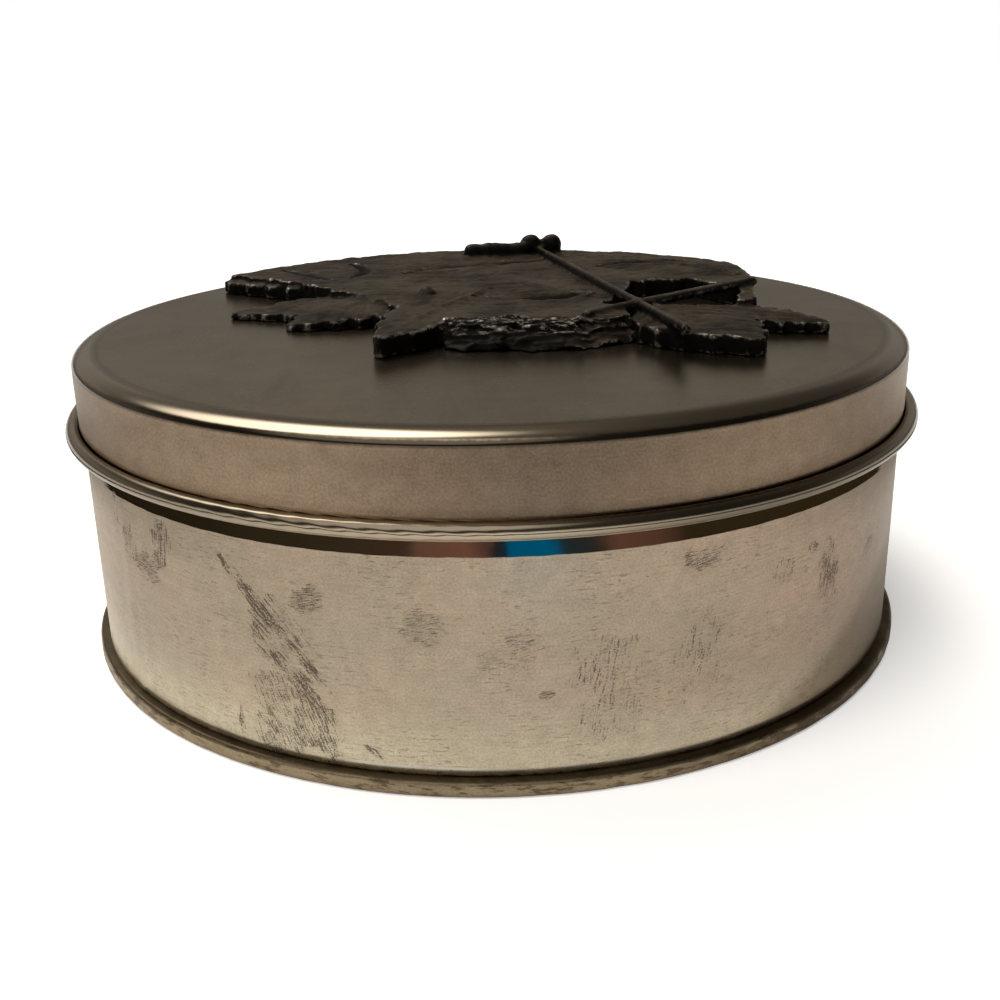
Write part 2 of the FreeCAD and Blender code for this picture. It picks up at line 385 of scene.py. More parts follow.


# Painted light and shade round the tin, by degrees from the front, and up the wall, by millimetres
WALL_PAINTED_LIGHT = [(-180, 0.95), (-80, 1.0), (-66, 1.05), (-54, 0.83), (-42, 0.88), (-30, 0.96), (-12, 0.98),
              (6, 1.03), (18, 1.0), (30, 0.98), (42, 0.86), (54, 0.60), (66, 0.53), (84, 0.8), (180, 0.95)]
BEND_PAINTED_LIGHT = [(-180, 0.6), (-80, 0.6), (-50, 0.62), (-34, 0.66), (-24, 0.84), (-8, 1.12), (4, 1.1),
              (14, 0.7), (24, 0.42), (50, 0.36), (80, 0.5), (180, 0.6)]
SKIRT_PAINTED_LIGHT = [(-180, 1.2), (-84, 1.0), (-66, 0.9), (-54, 1.22), (-42, 1.35), (-30, 1.57), (-18, 1.46),
               (-9, 1.08), (0, 0.9), (8, 0.85), (15, 1.0), (22, 1.14), (31, 1.32), (42, 1.1), (54, 0.88),
               (66, 1.2), (180, 1.2)]
RISE_PAINTED_LIGHT = [(2, 1.75), (5, 1.62), (9, 1.36), (14, 1.18), (20, 1.10), (27, 1.14), (32, 1.27), (37, 1.42),
              (41, 1.5)]
RISE_REACH = 60.0

# Keeps a place on the unrolled side of the tin, without its radius
ON_SURFACE = (1.0, 1.0, 0.0)


def build_groups():
    """The shared effects, made once."""
    makers = {"wrapped": wrapped_group, "grain": grain_group, "hairline": hairline_group,
              "patch": patch_group, "streak": streak_group}
    groups = {name: make() for name, make in makers.items()}
    degree = radians(1.0) * sizes().wall_radius
    for name, tones in (("wall_painted_light", WALL_PAINTED_LIGHT), ("bend_painted_light", BEND_PAINTED_LIGHT), ("skirt_painted_light", SKIRT_PAINTED_LIGHT)):
        groups[name] = tone_group(name, [(azimuth * degree, tone) for azimuth, tone in tones], 180 * degree)
    groups["wall_rise_painted_light"] = tone_group("wall_rise_painted_light", RISE_PAINTED_LIGHT, RISE_REACH)
    return groups


def new_material(name):
    """A material with an empty tree but for its Principled shader, and the graph to fill it."""
    material = bpy.data.materials.new(name)
    material.use_nodes = True
    shader = material.node_tree.nodes["Principled BSDF"]
    return material, Graph(material.node_tree), shader


def bump(g, height, strength, distance):
    """A bump node on a height socket; distance in metres."""
    made = g.node("ShaderNodeBump", {"Strength": strength, "Distance": distance, "Height": height})
    return made.outputs["Normal"]


# ---------------------------------------------------------------- finishes

FALLING = Scratch(-0.83, 0.38)
STEEP = Scratch(-1.2, 0.32)
LEVEL = Scratch(0.2, 0.2)
UPRIGHT = Scratch(1.4, 0.4)

# Rubbed patches of the wall: azimuths in degrees from the front, sizes in millimetres, leans in radians
MARKS = [
    Mark(-27.6, 28.5, 20.0, 1.5, -0.82, FALLING, 0.91),
    Mark(-24.9, 25.5, 17.0, 1.3, -0.84, FALLING, 0.91),
    Mark(-22.8, 17.0, 9.0, 3.0, -0.95, FALLING, 0.86),
    Mark(-25.5, 25.0, 8.5, 10.0, 0.0, FALLING, 0.79),
    Mark(-21.0, 31.5, 6.0, 3.6, 0.5, LEVEL, 0.81),
    Mark(-25.0, 14.0, 9.5, 9.5, 0.0, STEEP, 0.8),
    Mark(-21.0, 10.0, 5.5, 10.5, 0.3, STEEP, 0.86),
    Mark(-26.0, 6.5, 8.5, 5.0, 0.0, STEEP, 0.83),
    Mark(-31.5, 7.0, 0.9, 5.0, 0.0, UPRIGHT, 0.88),
    Mark(-43.0, 35.0, 4.4, 6.5, 0.1, UPRIGHT, 0.87),
    Mark(-46.5, 29.5, 7.0, 5.0, 0.4, LEVEL, 0.81),
    Mark(-50.5, 32.5, 3.8, 6.0, 0.0, UPRIGHT, 0.78),
    Mark(-54.0, 38.0, 2.4, 9.0, 0.0, UPRIGHT, 0.79),
    Mark(23.3, 36.6, 5.5, 3.2, 0.0, LEVEL, 0.84),
    Mark(43.5, 26.5, 4.6, 9.5, 0.15, UPRIGHT, 0.85),
    Mark(35.0, 31.0, 4.5, 3.5, 0.2, UPRIGHT, 0.77),
    Mark(40.0, 33.0, 2.0, 1.6, 0.2, UPRIGHT, 0.85),
    Mark(54.5, 27.0, 3.2, 2.6, 0.3, LEVEL, 0.8),
    Mark(-8.3, 28.3, 6.5, 5.5, 0.0, LEVEL, 0.75),
    Mark(1.5, 24.3, 9.0, 5.5, 0.3, LEVEL, 0.75),
    Mark(5.3, 17.0, 2.4, 1.3, 0.3, LEVEL, 0.84),
    Mark(12.0, 17.0, 10.0, 16.0, 0.0, UPRIGHT, 0.72),
    Mark(23.0, 20.0, 8.0, 12.0, 0.0, UPRIGHT, 0.73),
    Mark(-14.0, 6.2, 3.4, 0.9, -0.6, FALLING, 0.88),
]


def scuffs(g, groups, place):
    """The wall's scuffs as one mask: rubbed patches, each scratched one way, over a faint haze."""
    degree = radians(1.0) * sizes().wall_radius
    haze = 0.07
    broken = g.ramp(g.noise(place, 0.22, 3.0), 0.36, 0.62, 0.86, 1.03)
    rubbed = {}
    for mark in MARKS:
        patch = g.group(groups["patch"], {
            "Place": place, "Arc": mark.azimuth * degree, "Height": mark.height,
            "Half width": mark.half_width, "Half height": mark.half_height, "Lean": mark.lean})["Mask"]
        amount = g.times(patch, mark.amount)
        rubbed[mark.scratch] = g.most(rubbed[mark.scratch], amount) if mark.scratch in rubbed else amount
    total = None
    for scratch, amount in rubbed.items():
        streak = g.group(groups["streak"], {"Place": place, "Lean": scratch.lean, "Spacing": scratch.spacing,
                                            "Amount": g.times(amount, broken)})["Mask"]
        worn = g.plus(streak, g.times(amount, haze))
        total = worn if total is None else g.most(total, worn)
    return total


def finish(g, shader, colour, rough, normal, metallic=1.0):
    """Feeds the Principled shader of a finish."""
    inputs = {"Base Color": colour, "Roughness": rough, "Normal": normal, "Metallic": metallic}
    for name, value in inputs.items():
        g.feed(shader.inputs[name], value)


def wall_tinplate(g, groups, wrapped, flat, grain, cloud):
    """The wall's colour, with painted light and shade that run round it and up it."""
    tint = colours()
    arc, height = wrapped["Arc"], wrapped["Height"]
    lines = g.group(groups["hairline"], {"Place": flat, "Depth": 0.16})
    # Painted light and shade: tones by azimuth and height stand in for the wall's reflections, times a
    # random cloud
    tone = g.times(g.group(groups["wall_painted_light"], {"Value": arc})["Tone"],
                   g.group(groups["wall_rise_painted_light"], {"Value": height})["Tone"],
                   g.ramp(cloud, 0.25, 0.75, 0.93, 1.07))
    colour = g.mix(g.ramp(cloud, 0.35, 0.75), tint.wall, tint.wall_cloud)
    colour = g.mix(g.ramp(height, 16.0, 6.0), colour, tint.wall_foot)
    colour = g.mix(g.band(arc, 5.0, 70.0, 140.0, 240.0), colour, tint.wall_right, "MULTIPLY")
    return g.shaded(colour, g.times(grain["Shade"], lines["Shade"], tone))


def wall_wear_and_painted_light(g, groups, wrapped, flat, marks, colour):
    """Dashes, rust, scuffs, a painted reflection of the tin's shadow at the lower right, a painted highlight
    over the seam and painted shade in its groove.
    """
    tint = colours()
    arc, height = wrapped["Arc"], wrapped["Height"]
    dashes = g.times(g.spots(flat, (0.45, 2.4, 0.0), 0.56, 0.63, 3.0, 0.7), g.spots(flat, 0.09, 0.40, 0.60))
    specks = g.times(g.spots(flat, 1.1, 0.70, 0.75), g.spots(flat, 0.13, 0.4, 0.6, 1.0))
    rust = g.times(g.spots(flat, 1.1, 0.62, 0.68, 4.0, 0.7), g.spots(flat, 0.07, 0.42, 0.62))
    # Painted reflection of the tin's shadow: a wedge at the lower right
    slant = g.minus(g.times(arc, 0.44), height)
    olive_shadow_reflection = g.times(g.ramp(slant, 13.5, 19.0), g.ramp(arc, 118.0, 92.0))
    # Painted highlight just above the seam
    painted_glint = g.times(g.band(height, 3.95, 4.15, 4.4, 4.6), g.band(arc, -28.0, -22.0, -6.0, 2.0))
    # Painted shade in the groove over the seam
    ragged = g.plus(height, g.times(g.noise(flat, 0.5, 3.0), 0.9))
    groove = g.ramp(ragged, SEAM_TOP + 0.95, SEAM_TOP + 0.3)
    return g.coats(colour, (g.most(dashes, specks), 0.5, tint.dashes), (rust, 0.38, tint.rust),
                   (olive_shadow_reflection, 0.45, tint.olive_shadow_reflection), (marks, 0.78, tint.soot), (painted_glint, 0.7, tint.painted_glint),
                   (groove, 1.0, tint.groove))


# The bright strip's upper edge, and how far it runs round the wall to each side, in millimetres
BRIGHT_TOP = 42.6
BRIGHT_REACH = 80.0


def bright_strip(g, wrapped, flat):
    """The strip that the lid has kept clean: 1 inside it, with a slightly wavy lower edge."""
    height = wrapped["Height"]
    edge = g.plus(sizes().bright_low, g.times(g.noise(flat, 0.25, 3.0), 0.35))
    above = g.ramp(g.minus(height, edge), 0.0, 0.12)
    below = g.ramp(height, BRIGHT_TOP + 0.15, BRIGHT_TOP - 0.15)
    around = g.ramp(g.math("ABSOLUTE", wrapped["Arc"]), BRIGHT_REACH + 3.0, BRIGHT_REACH - 4.0)
    return g.times(above, below, around)


def wall_material(groups):
    """Satin tinplate with lines round it, scuffs, and a bright strip that the lid has kept clean."""
    material, g, shader = new_material("wall_satin")
    wrapped = g.group(groups["wrapped"])
    flat = g.vector("MULTIPLY", wrapped["Place"], ON_SURFACE)
    grain = g.group(groups["grain"], {"Place": flat, "Size": 0.36, "Depth": 0.21})
    cloud = g.noise(flat, (0.035, 0.06, 0.0), 4.0, 0.6)
    marks = scuffs(g, groups, flat)
    bright = bright_strip(g, wrapped, flat)
    satin = g.minus(1.0, bright)
    colour = wall_tinplate(g, groups, wrapped, flat, grain, cloud)
    colour = wall_wear_and_painted_light(g, groups, wrapped, flat, marks, colour)
    colour = g.mix(bright, colour, colours().clean)
    rough = g.plus(g.plus(0.31, g.times(cloud, 0.08)), g.times(marks, 0.15))
    rough = g.plus(g.times(rough, satin), g.times(bright, 0.04))
    finish(g, shader, colour, rough, bump(g, g.times(grain["Height"], satin), 0.3, 0.02 * MM))
    return material


def lid_panel(g, plan, grain, cloud):
    """The lid's top: clouded, wiped in places, and darker towards its back with painted shade."""
    tint = colours()
    wiped = g.ramp(g.noise(plan, (0.12, 0.03, 0.1), 4.0, 0.65), 0.5, 0.75, 0.0, 0.5)
    # Painted shade towards the back of the lid's top
    back = g.ramp(g.split(plan)[1], -78.0, 30.0)
    panel = g.mix(g.ramp(cloud, 0.3, 0.7), tint.panel, tint.panel_cloud)
    panel = g.mix(wiped, panel, tint.panel_wiped)
    panel = g.mix(back, panel, tint.panel_back_shade, "MULTIPLY")
    return g.shaded(panel, grain["Shade"])


def lid_skirt(g, groups, wrapped, flat, grain):
    """The lid's side: grainy, lighter towards its foot, with dark specks and painted reflections round it.
    """
    lines = g.group(groups["hairline"], {"Place": flat, "Depth": 0.09})
    # Painted reflection round the skirt: darker just right of the front, lighter to each side
    tone = g.times(g.group(groups["skirt_painted_light"], {"Value": wrapped["Arc"]})["Tone"],
                   g.ramp(wrapped["Height"], 46.0, 57.0, 1.17, 0.85))
    skirt = g.shaded(colours().skirt, g.times(grain["Shade"], lines["Shade"], tone))
    return g.coats(skirt, (g.spots(flat, 0.9, 0.66, 0.72, 4.0, 0.75), 0.65, colours().soot))


def lid_shade_lines(g, wrapped, flat, shoulder, crease, panel_edge):
    """Painted shade lines under the shoulder, round the panel and over the rolled edge: 1 where they are
    strongest.
    """
    line = g.plus(wrapped["Height"], g.times(g.noise(flat, 0.8, 4.0, 0.7), 0.5))
    high = g.band(line, shoulder - 0.1, shoulder + 0.4, shoulder + 1.0, shoulder + 1.35)
    inner = g.band(g.minus(wrapped["Radius"], panel_edge), -0.7, 0.1, 0.8, 1.6)
    low = g.band(line, crease - 1.1, crease - 0.6, crease + 0.2, crease + 0.6)
    return g.most(g.most(high, g.times(inner, 0.65)), g.times(low, 0.3))


def lid_material(groups):
    """Tinplate that is dull and dark on top, grainy on the skirt, and smoother where it is bent, with
    painted light and shade round its bends.
    """
    material, g, shader = new_material("lid_satin")
    size = sizes()
    crease = LID_FOOT + size.curl
    shoulder = LID_TOP - size.crown_drop
    panel_edge = size.wall_radius + size.lid_gap + size.sheet - size.crown
    wrapped = g.group(groups["wrapped"])
    height = wrapped["Height"]
    plan = g.object_mm()
    flat = g.vector("MULTIPLY", wrapped["Place"], ON_SURFACE)
    side = g.group(groups["grain"], {"Place": flat, "Size": 0.42, "Depth": 0.24})
    top = g.group(groups["grain"], {"Place": plan, "Size": 0.6, "Depth": 0.15})
    cloud = g.noise(plan, 0.03, 4.0, 0.6)
    on_top = g.ramp(wrapped["Radius"], panel_edge + 1.6, panel_edge - 0.2)
    on_curl = g.ramp(height, crease + 0.1, crease - 0.2)
    on_bend = g.times(g.ramp(height, shoulder - 0.1, shoulder + 0.3), g.minus(1.0, on_top))
    bent = g.most(on_curl, on_bend)
    # Painted highlight: the shoulder and curl are brightest at the front left and dark to the right
    painted_shine = g.group(groups["bend_painted_light"], {"Value": wrapped["Arc"]})["Tone"]
    colour = g.mix(on_top, lid_skirt(g, groups, wrapped, flat, side), lid_panel(g, plan, top, cloud))
    colour = g.mix(bent, colour, g.shaded(colours().bent, painted_shine))
    # Painted shade lines round the lid's bends
    shade_lines = lid_shade_lines(g, wrapped, flat, shoulder, crease, panel_edge)
    colour = g.coats(colour, (shade_lines, 0.75, colours().shade_lines))
    rough = g.minus(g.plus(0.31, g.times(cloud, 0.1)), g.times(on_top, 0.09))
    rough = g.minus(rough, g.times(bent, 0.20))
    arc, level, _ = g.split(flat)
    twist = g.math("SINE", g.plus(g.times(arc, 1.35), g.times(level, 4.0)))
    rolled = g.times(on_curl, g.band(arc, -60.0, -30.0, -10.0, 12.0))
    pits = g.times(g.plus(side["Height"], top["Height"]), g.minus(1.0, bent))
    pits = g.plus(pits, g.times(twist, rolled, 2.2))
    finish(g, shader, colour, rough, bump(g, pits, 0.35, 0.02 * MM))
    return material


def base_material(groups):
    """The seamed end: painted shade in its groove, tan and flecked at its side, blotched brown at the right.
    """
    material, g, shader = new_material("base_worn")
    tint = colours()
    wrapped = g.group(groups["wrapped"])
    place = wrapped["Place"]
    grain = g.group(groups["grain"], {"Place": place, "Size": 0.45, "Depth": 0.16})
    blotch = g.noise(place, (0.16, 0.5, 0.3), 5.0, 0.65)
    flecks = g.spots(place, (0.3, 1.3, 0.6), 0.52, 0.60, 4.0, 0.7)
    right = g.times(g.ramp(wrapped["Arc"], 18.0, 55.0), g.ramp(blotch, 0.30, 0.5))
    worn = g.coats(tint.seam, (flecks, 0.7, tint.tarnish),
                   (g.ramp(wrapped["Height"], 1.2, 0.3), 0.45, tint.seam_foot),
                   (right, 0.85, tint.seam_blotch),
                   # painted shade on the seam's upward faces, in the groove
                   (g.ramp(g.normal_up(), 0.55, 0.85), 0.9, tint.seam_top_shade))
    finish(g, shader, g.shaded(worn, grain["Shade"]), g.ramp(blotch, 0.3, 0.7, 0.34, 0.5),
           bump(g, blotch, 0.35, 0.08 * MM))
    return material


def cast_material(groups):
    """Dark patinated casting: dull flats, sides painted black as shade, glossy rubbed edges."""
    material, g, shader = new_material("cast_dark")
    tint = colours()
    plan = g.object_mm()
    x, y, z = g.split(plan)
    hollow, edge = (g.node("ShaderNodeAttribute", attribute_name=name).outputs["Fac"]
                    for name in ("hollow", "edge"))
    grain = g.group(groups["grain"], {"Place": plan, "Size": 0.7, "Depth": 0.22})
    cloud = g.noise(plan, (0.09, 0.09, 0.2), 4.0, 0.6)
    crumple = g.times(g.ramp(y, -20.6, -21.8), g.band(x, -10.5, -8.0, 13.0, 19.0))
    flats = g.mix(g.ramp(cloud, 0.35, 0.65), tint.cast_dust, tint.cast_flat)
    # Painted shade by facing: upward flats keep their dusty colour, sides go black
    colour = g.mix(g.ramp(g.normal_up(), 0.55, 0.92), tint.cast_side_shade, flats)
    colour = g.shaded(colour, grain["Shade"])
    edges = g.times(g.ramp(edge, 0.2, 0.7), g.spots(plan, 0.9, 0.44, 0.60, 4.0, 0.7))
    shreds = g.times(g.spots(plan, (0.45, 1.7, 1.7), 0.53, 0.60, 5.0, 0.7), g.spots(plan, 0.22, 0.42, 0.6),
                     g.ramp(z, LID_TOP + 1.4, LID_TOP + 3.4), crumple)
    dull = g.times(crumple, g.ramp(z, LID_TOP + 3.3, LID_TOP + 2.0, 0.0, 0.97))
    rubbed = g.times(g.most(edges, g.times(shreds, 0.85)), g.minus(1.0, dull))
    # Dark hollows, the crumpled front painted black as shade, and metal at rubbed edges
    colour = g.coats(colour, (g.ramp(hollow, 0.1, 0.7), 0.85, tint.cast_hollow),
                     (crumple, 0.9, tint.cast_side_shade), (rubbed, 0.85, tint.cast_edge))
    polished = g.ramp(z, LID_TOP + 5.2, LID_TOP + 6.2, 0.0, 0.14)
    rough = g.minus(g.plus(0.38, g.times(hollow, 0.35)), polished)
    rough = g.minus(rough, g.times(rubbed, 0.17))
    shader.inputs["Specular IOR Level"].default_value = 0.05
    finish(g, shader, colour, rough, bump(g, g.plus(cloud, grain["Height"]), 0.6, 0.12 * MM),
           g.times(rubbed, 0.9))
    return material


# ---------------------------------------------------------------- turned sheet metal

def arc_points(centre_r, centre_z, radius, start, end, count, height=None):
    """Points of an arc in the half section, by its angles in degrees; height is given if it is flattened."""
    angles = [radians(start + (end - start) * i / count) for i in range(count + 1)]
    return [(centre_r + radius * cos(a), centre_z + (height or radius) * sin(a)) for a in angles]


def straight(start, end, count):
    """Points from start to end of the half section, without the end."""
    return [(start[0] + (end[0] - start[0]) * i / count, start[1] + (end[1] - start[1]) * i / count)
            for i in range(count)]


def lid_section():
    """The lid's half section, from the axis over the top, round the curl and back inside."""
    size = sizes()
    inner = size.wall_radius + size.lid_gap
    outer = inner + size.sheet
    corner = outer - size.crown
    shoulder_z = LID_TOP - size.crown_drop
    curl = size.curl / 2
    centre_r = inner + curl
    centre_z = LID_FOOT + curl
    tip = 180 + size.curl_turn
    points = straight((0, LID_TOP), (corner, LID_TOP), 26)
    points += arc_points(corner, shoulder_z, size.crown, 90, 0, 22, size.crown_drop)
    points += straight((outer, shoulder_z), (outer, centre_z), 10)[1:]
    points += arc_points(centre_r, centre_z, curl - size.sheet, 180, tip, 20)
    points += arc_points(centre_r, centre_z, curl, tip, 180, 36)
    points += straight((inner, centre_z), (inner, shoulder_z), 3)[1:]
    points += arc_points(corner, shoulder_z, size.crown - size.sheet, 0, 90, 6, size.crown_drop - size.sheet)
    points.append((0, LID_TOP - size.sheet))
    return points


def wall_section():
    """The wall's half section, shut below by the base and above under the lid."""
    size = sizes()
    clear_of_lid = 0.1
    chamfer = 0.15
    top = WALL_TOP - clear_of_lid
    foot = SEAM_TOP
    shoulder = top - size.shoulder
    low = foot - size.panel_step
    points = [(0, low), (size.panel_radius, low), (size.panel_radius + size.panel_run, foot),
              (size.wall_radius - chamfer, foot)]
    points += straight((size.wall_radius, foot + chamfer), (size.wall_radius, shoulder), 44)
    points += arc_points(size.wall_radius - size.shoulder, shoulder, size.shoulder, 0, 90, 6)
    points.append((0, top))
    return points


def base_section():
    """The stamped end's half section: the stepped panel from below, then round the seam."""
    size = sizes()
    edge = size.seam_edge
    inner = SEAM_RADIUS - size.seam_width
    slope_end = size.panel_radius + size.panel_run
    under = SEAM_TOP - size.sheet
    low = under - size.panel_step
    bend = 0.5
    ease = 0.08
    points = [(0, low), (size.panel_radius - bend, low), (size.panel_radius, low + ease),
              (slope_end, under - ease), (slope_end + bend, under)]
    points += arc_points(inner - bend, under - bend, bend, 90, 0, 4)
    points += arc_points(inner + edge, edge, edge, 180, 270, 8)
    points += arc_points(SEAM_RADIUS - edge, edge, edge, 270, 360, 10)
    points += arc_points(SEAM_RADIUS - edge, SEAM_TOP - edge, edge, 0, 90, 10)
    points += [(slope_end, SEAM_TOP), (size.panel_radius, SEAM_TOP - size.panel_step),
               (0, SEAM_TOP - size.panel_step)]
    return points


def turning_tree():
    """Geometry nodes that turn a half section round the axis into a smooth closed mesh."""
    tree = bpy.data.node_groups.new("Turn section", "GeometryNodeTree")
    for label, kind in (("Section", "Geometry"), ("Section points", "Int"), ("Segments", "Int"),
                        ("Finish", "Material")):
        tree.interface.new_socket(name=label, in_out="INPUT", socket_type="NodeSocket" + kind)
    tree.interface.new_socket(name="Turned", in_out="OUTPUT", socket_type="NodeSocketGeometry")
    g = Graph(tree)
    use = tree.nodes.new("NodeGroupInput").outputs
    columns = g.plus(use["Segments"], 1)
    grid = g.node("GeometryNodeMeshGrid", {"Vertices X": use["Section points"], "Vertices Y": columns})
    index = g.node("GeometryNodeInputIndex").outputs[0]
    row = g.math("FLOOR", g.over(g.plus(index, 0.5), columns))
    column = g.minus(index, g.times(row, columns))
    sample = g.node("GeometryNodeSampleIndex", data_type="FLOAT_VECTOR", domain="POINT")
    g.feed(sample.inputs["Geometry"], use["Section"])
    g.feed(sample.inputs["Value"], g.node("GeometryNodeInputPosition").outputs[0])
    g.feed(sample.inputs["Index"], row)
    radius, _, height = g.split(sample.outputs[0])
    angle = g.times(g.over(column, use["Segments"]), tau)
    x = g.times(radius, g.math("COSINE", angle))
    y = g.times(radius, g.math("SINE", angle))
    placed = g.node("GeometryNodeSetPosition", {"Geometry": grid.outputs["Mesh"],
                                                "Position": g.combine(x, y, height)})
    merged = g.node("GeometryNodeMergeByDistance", {"Geometry": placed.outputs[0], "Distance": 0.0001 * MM})
    smooth = g.node("GeometryNodeSetShadeSmooth", {"Geometry": merged.outputs[0], "Shade Smooth": True})
    whole = g.node("GeometryNodeRealizeInstances", {"Geometry": smooth.outputs[0]})
    painted = g.node("GeometryNodeSetMaterial", {"Geometry": whole.outputs[0], "Material": use["Finish"]})
    leave = tree.nodes.new("NodeGroupOutput")
    g.feed(leave.inputs[0], painted.outputs[0])
    return tree


def linked(name, data):
    """A new object for the data, in the scene."""
    made = bpy.data.objects.new(name, data)
    bpy.context.scene.collection.objects.link(made)
    return made


def new_mesh(name, points, faces):
    """A mesh from points in millimetres."""
    mesh = bpy.data.meshes.new(name)
    mesh.from_pydata([(x * MM, y * MM, z * MM) for x, y, z in points], [], faces)
    return mesh


def baked_mesh(holder):
    """The mesh of an object after its modifiers."""
    return bpy.data.meshes.new_from_object(holder.evaluated_get(bpy.context.evaluated_depsgraph_get()))


def turned_mesh(name, section, material):
    """A plain mesh made by turning a half section, its faces outwards."""
    carrier = linked(name + "_carrier", new_mesh(name + "_section", [(r, 0, z) for r, z in section], []))
    tree = bpy.data.node_groups.get("Turn section") or turning_tree()
    modifier = carrier.modifiers.new("Turn", "NODES")
    modifier.node_group = tree
    keys = {s.name: s.identifier for s in tree.interface.items_tree if s.in_out == "INPUT"}
    modifier[keys["Section points"]] = len(section)
    modifier[keys["Segments"]] = sizes().segments
    modifier[keys["Finish"]] = material
    mesh = baked_mesh(carrier)
    bpy.data.objects.remove(carrier)
    mesh.name = name
    outward(mesh)
    return mesh


def outward(mesh):
    """Turns every face of a closed mesh outwards."""
    work = bmesh.new()
    work.from_mesh(mesh)
    bmesh.ops.recalc_face_normals(work, faces=work.faces[:])
    work.to_mesh(mesh)
    work.free()


def moved(mesh, shift):
    """Moves each vertex by what shift(coordinates in mm) returns, also in mm."""
    count = len(mesh.vertices)
    flat = np.empty(count * 3)
    mesh.vertices.foreach_get("co", flat)
    points = flat.reshape(count, 3) / MM
    points = points + shift(points)
    mesh.vertices.foreach_set("co", (points * MM).ravel())
    mesh.update()


def place_piece(name, mesh, node):
    """A finished object for a mesh: it rides and stands for its node."""
    piece = linked(name, mesh)
    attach(piece, BODY)
    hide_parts(node)
    return piece


def soft_noise(points, scale, seed):
    """Smooth noise at many points, about -1 to 1; scale in millimetres."""
    offset = Vector((seed * 17.3, seed * 5.1, seed * 9.7))
    return np.array([noise.noise(Vector(p) / scale + offset) for p in points])


def outward_of(points):
    """Unit directions from the axis, level."""
    flat = points[:, :2]
    length = np.maximum(np.linalg.norm(flat, axis=1), 1e-6)
    return np.column_stack([flat / length[:, None], np.zeros(len(points))])


# The side seam of the wall, and how uneven the thin sheet is, in millimetres
SIDE_SEAM_AZIMUTH = -52.6
SIDE_SEAM_HALF = 1.6
SIDE_SEAM_RISE = 0.12
WALL_WAVE = 0.09
LID_DISH = 0.05
LID_WAVE = 0.12
SKIRT_WAVE = 0.05
SEAM_KNOCK = 0.14


def wall_unevenness(points):
    """The slight waves of a thin wall and the raised lap of its side seam."""
    wave = soft_noise(points * (1.0, 1.0, 0.7), 26.0, 1) * WALL_WAVE
    azimuth = np.degrees(np.arctan2(points[:, 0], -points[:, 1]))
    arc = np.abs(azimuth - SIDE_SEAM_AZIMUTH) * radians(1.0) * sizes().wall_radius
    lap = np.clip((SIDE_SEAM_HALF - arc) / 0.5 + 0.5, 0, 1) * SIDE_SEAM_RISE
    on_wall = (points[:, 2] > SEAM_TOP + 0.05) & (np.hypot(points[:, 0], points[:, 1]) > 70)
    return outward_of(points) * ((wave + lap) * on_wall)[:, None]


def lid_unevenness(points):
    """A faint dish in the lid's panel and slight waves in its skirt."""
    radius = np.hypot(points[:, 0], points[:, 1])
    dish = np.clip(1 - (radius / 76.0) ** 2, 0, 1) * (soft_noise(points, 30.0, 2) * LID_WAVE - LID_DISH)
    side = soft_noise(points, 22.0, 3) * SKIRT_WAVE * (radius > 80.0) * (points[:, 2] < LID_TOP - 2.5)
    shift = outward_of(points) * side[:, None]
    shift[:, 2] += dish * (points[:, 2] > LID_TOP - 1)
    return shift


def base_unevenness(points):
    """Small knocks round the seam that the tin stands on."""
    radius = np.hypot(points[:, 0], points[:, 1])
    knock = np.minimum(soft_noise(points * (1, 1, 2.0), 5.0, 4), 0) * SEAM_KNOCK * (radius > 81.2)
    return outward_of(points) * knock[:, None]


# ---------------------------------------------------------------- the cast ornament

# The casting's underside stands this far over the lid, in millimetres, and its skin has this grain
CAST_CLEAR = 0.02
CAST_VOXEL = 0.42


def leaves():
    """Every leaf of the ornament: plan points in mm, and heights above the lid."""
    plate = sizes().plate
    return [
        Leaf((-14, 33), (-61, 38.5), 10.0, 9, 1.5, plate - 0.6, 0.3, 1),
        Leaf((-14, 14), (-53.5, 6), 9.0, 9, 1.5, plate - 1.2, 0.9, 2),
        Leaf((-15, 15), (-39.5, -8), 9.5, 8, 1.6, plate - 0.5, 1.6, 3),
        Leaf((0, 14), (-20, -33), 9.0, 6, 1.3, plate + 0.5, 0.2, 4),
        Leaf((31, -8), (47, -37.5), 10.5, 7, 1.4, plate + 0.25, 0.5, 5),
        Leaf((41, -4), (63.5, -19.5), 6.0, 8, 1.4, plate - 0.85, 0.5, 6),
        Leaf((55, 25), (16, 64), 9.0, 9, 1.4, plate + 0.75, 0.1, 7),
        Leaf((20, 2), (-24, 58), 14.0, 10, 1.4, plate + 0.5, 0.1, 8),
    ]


# Heights of a leaf's relief, in millimetres
DOME = 0.45
RIB = 0.55
VEIN_DEPTH = 0.22
LEAF_SKIN = 0.13


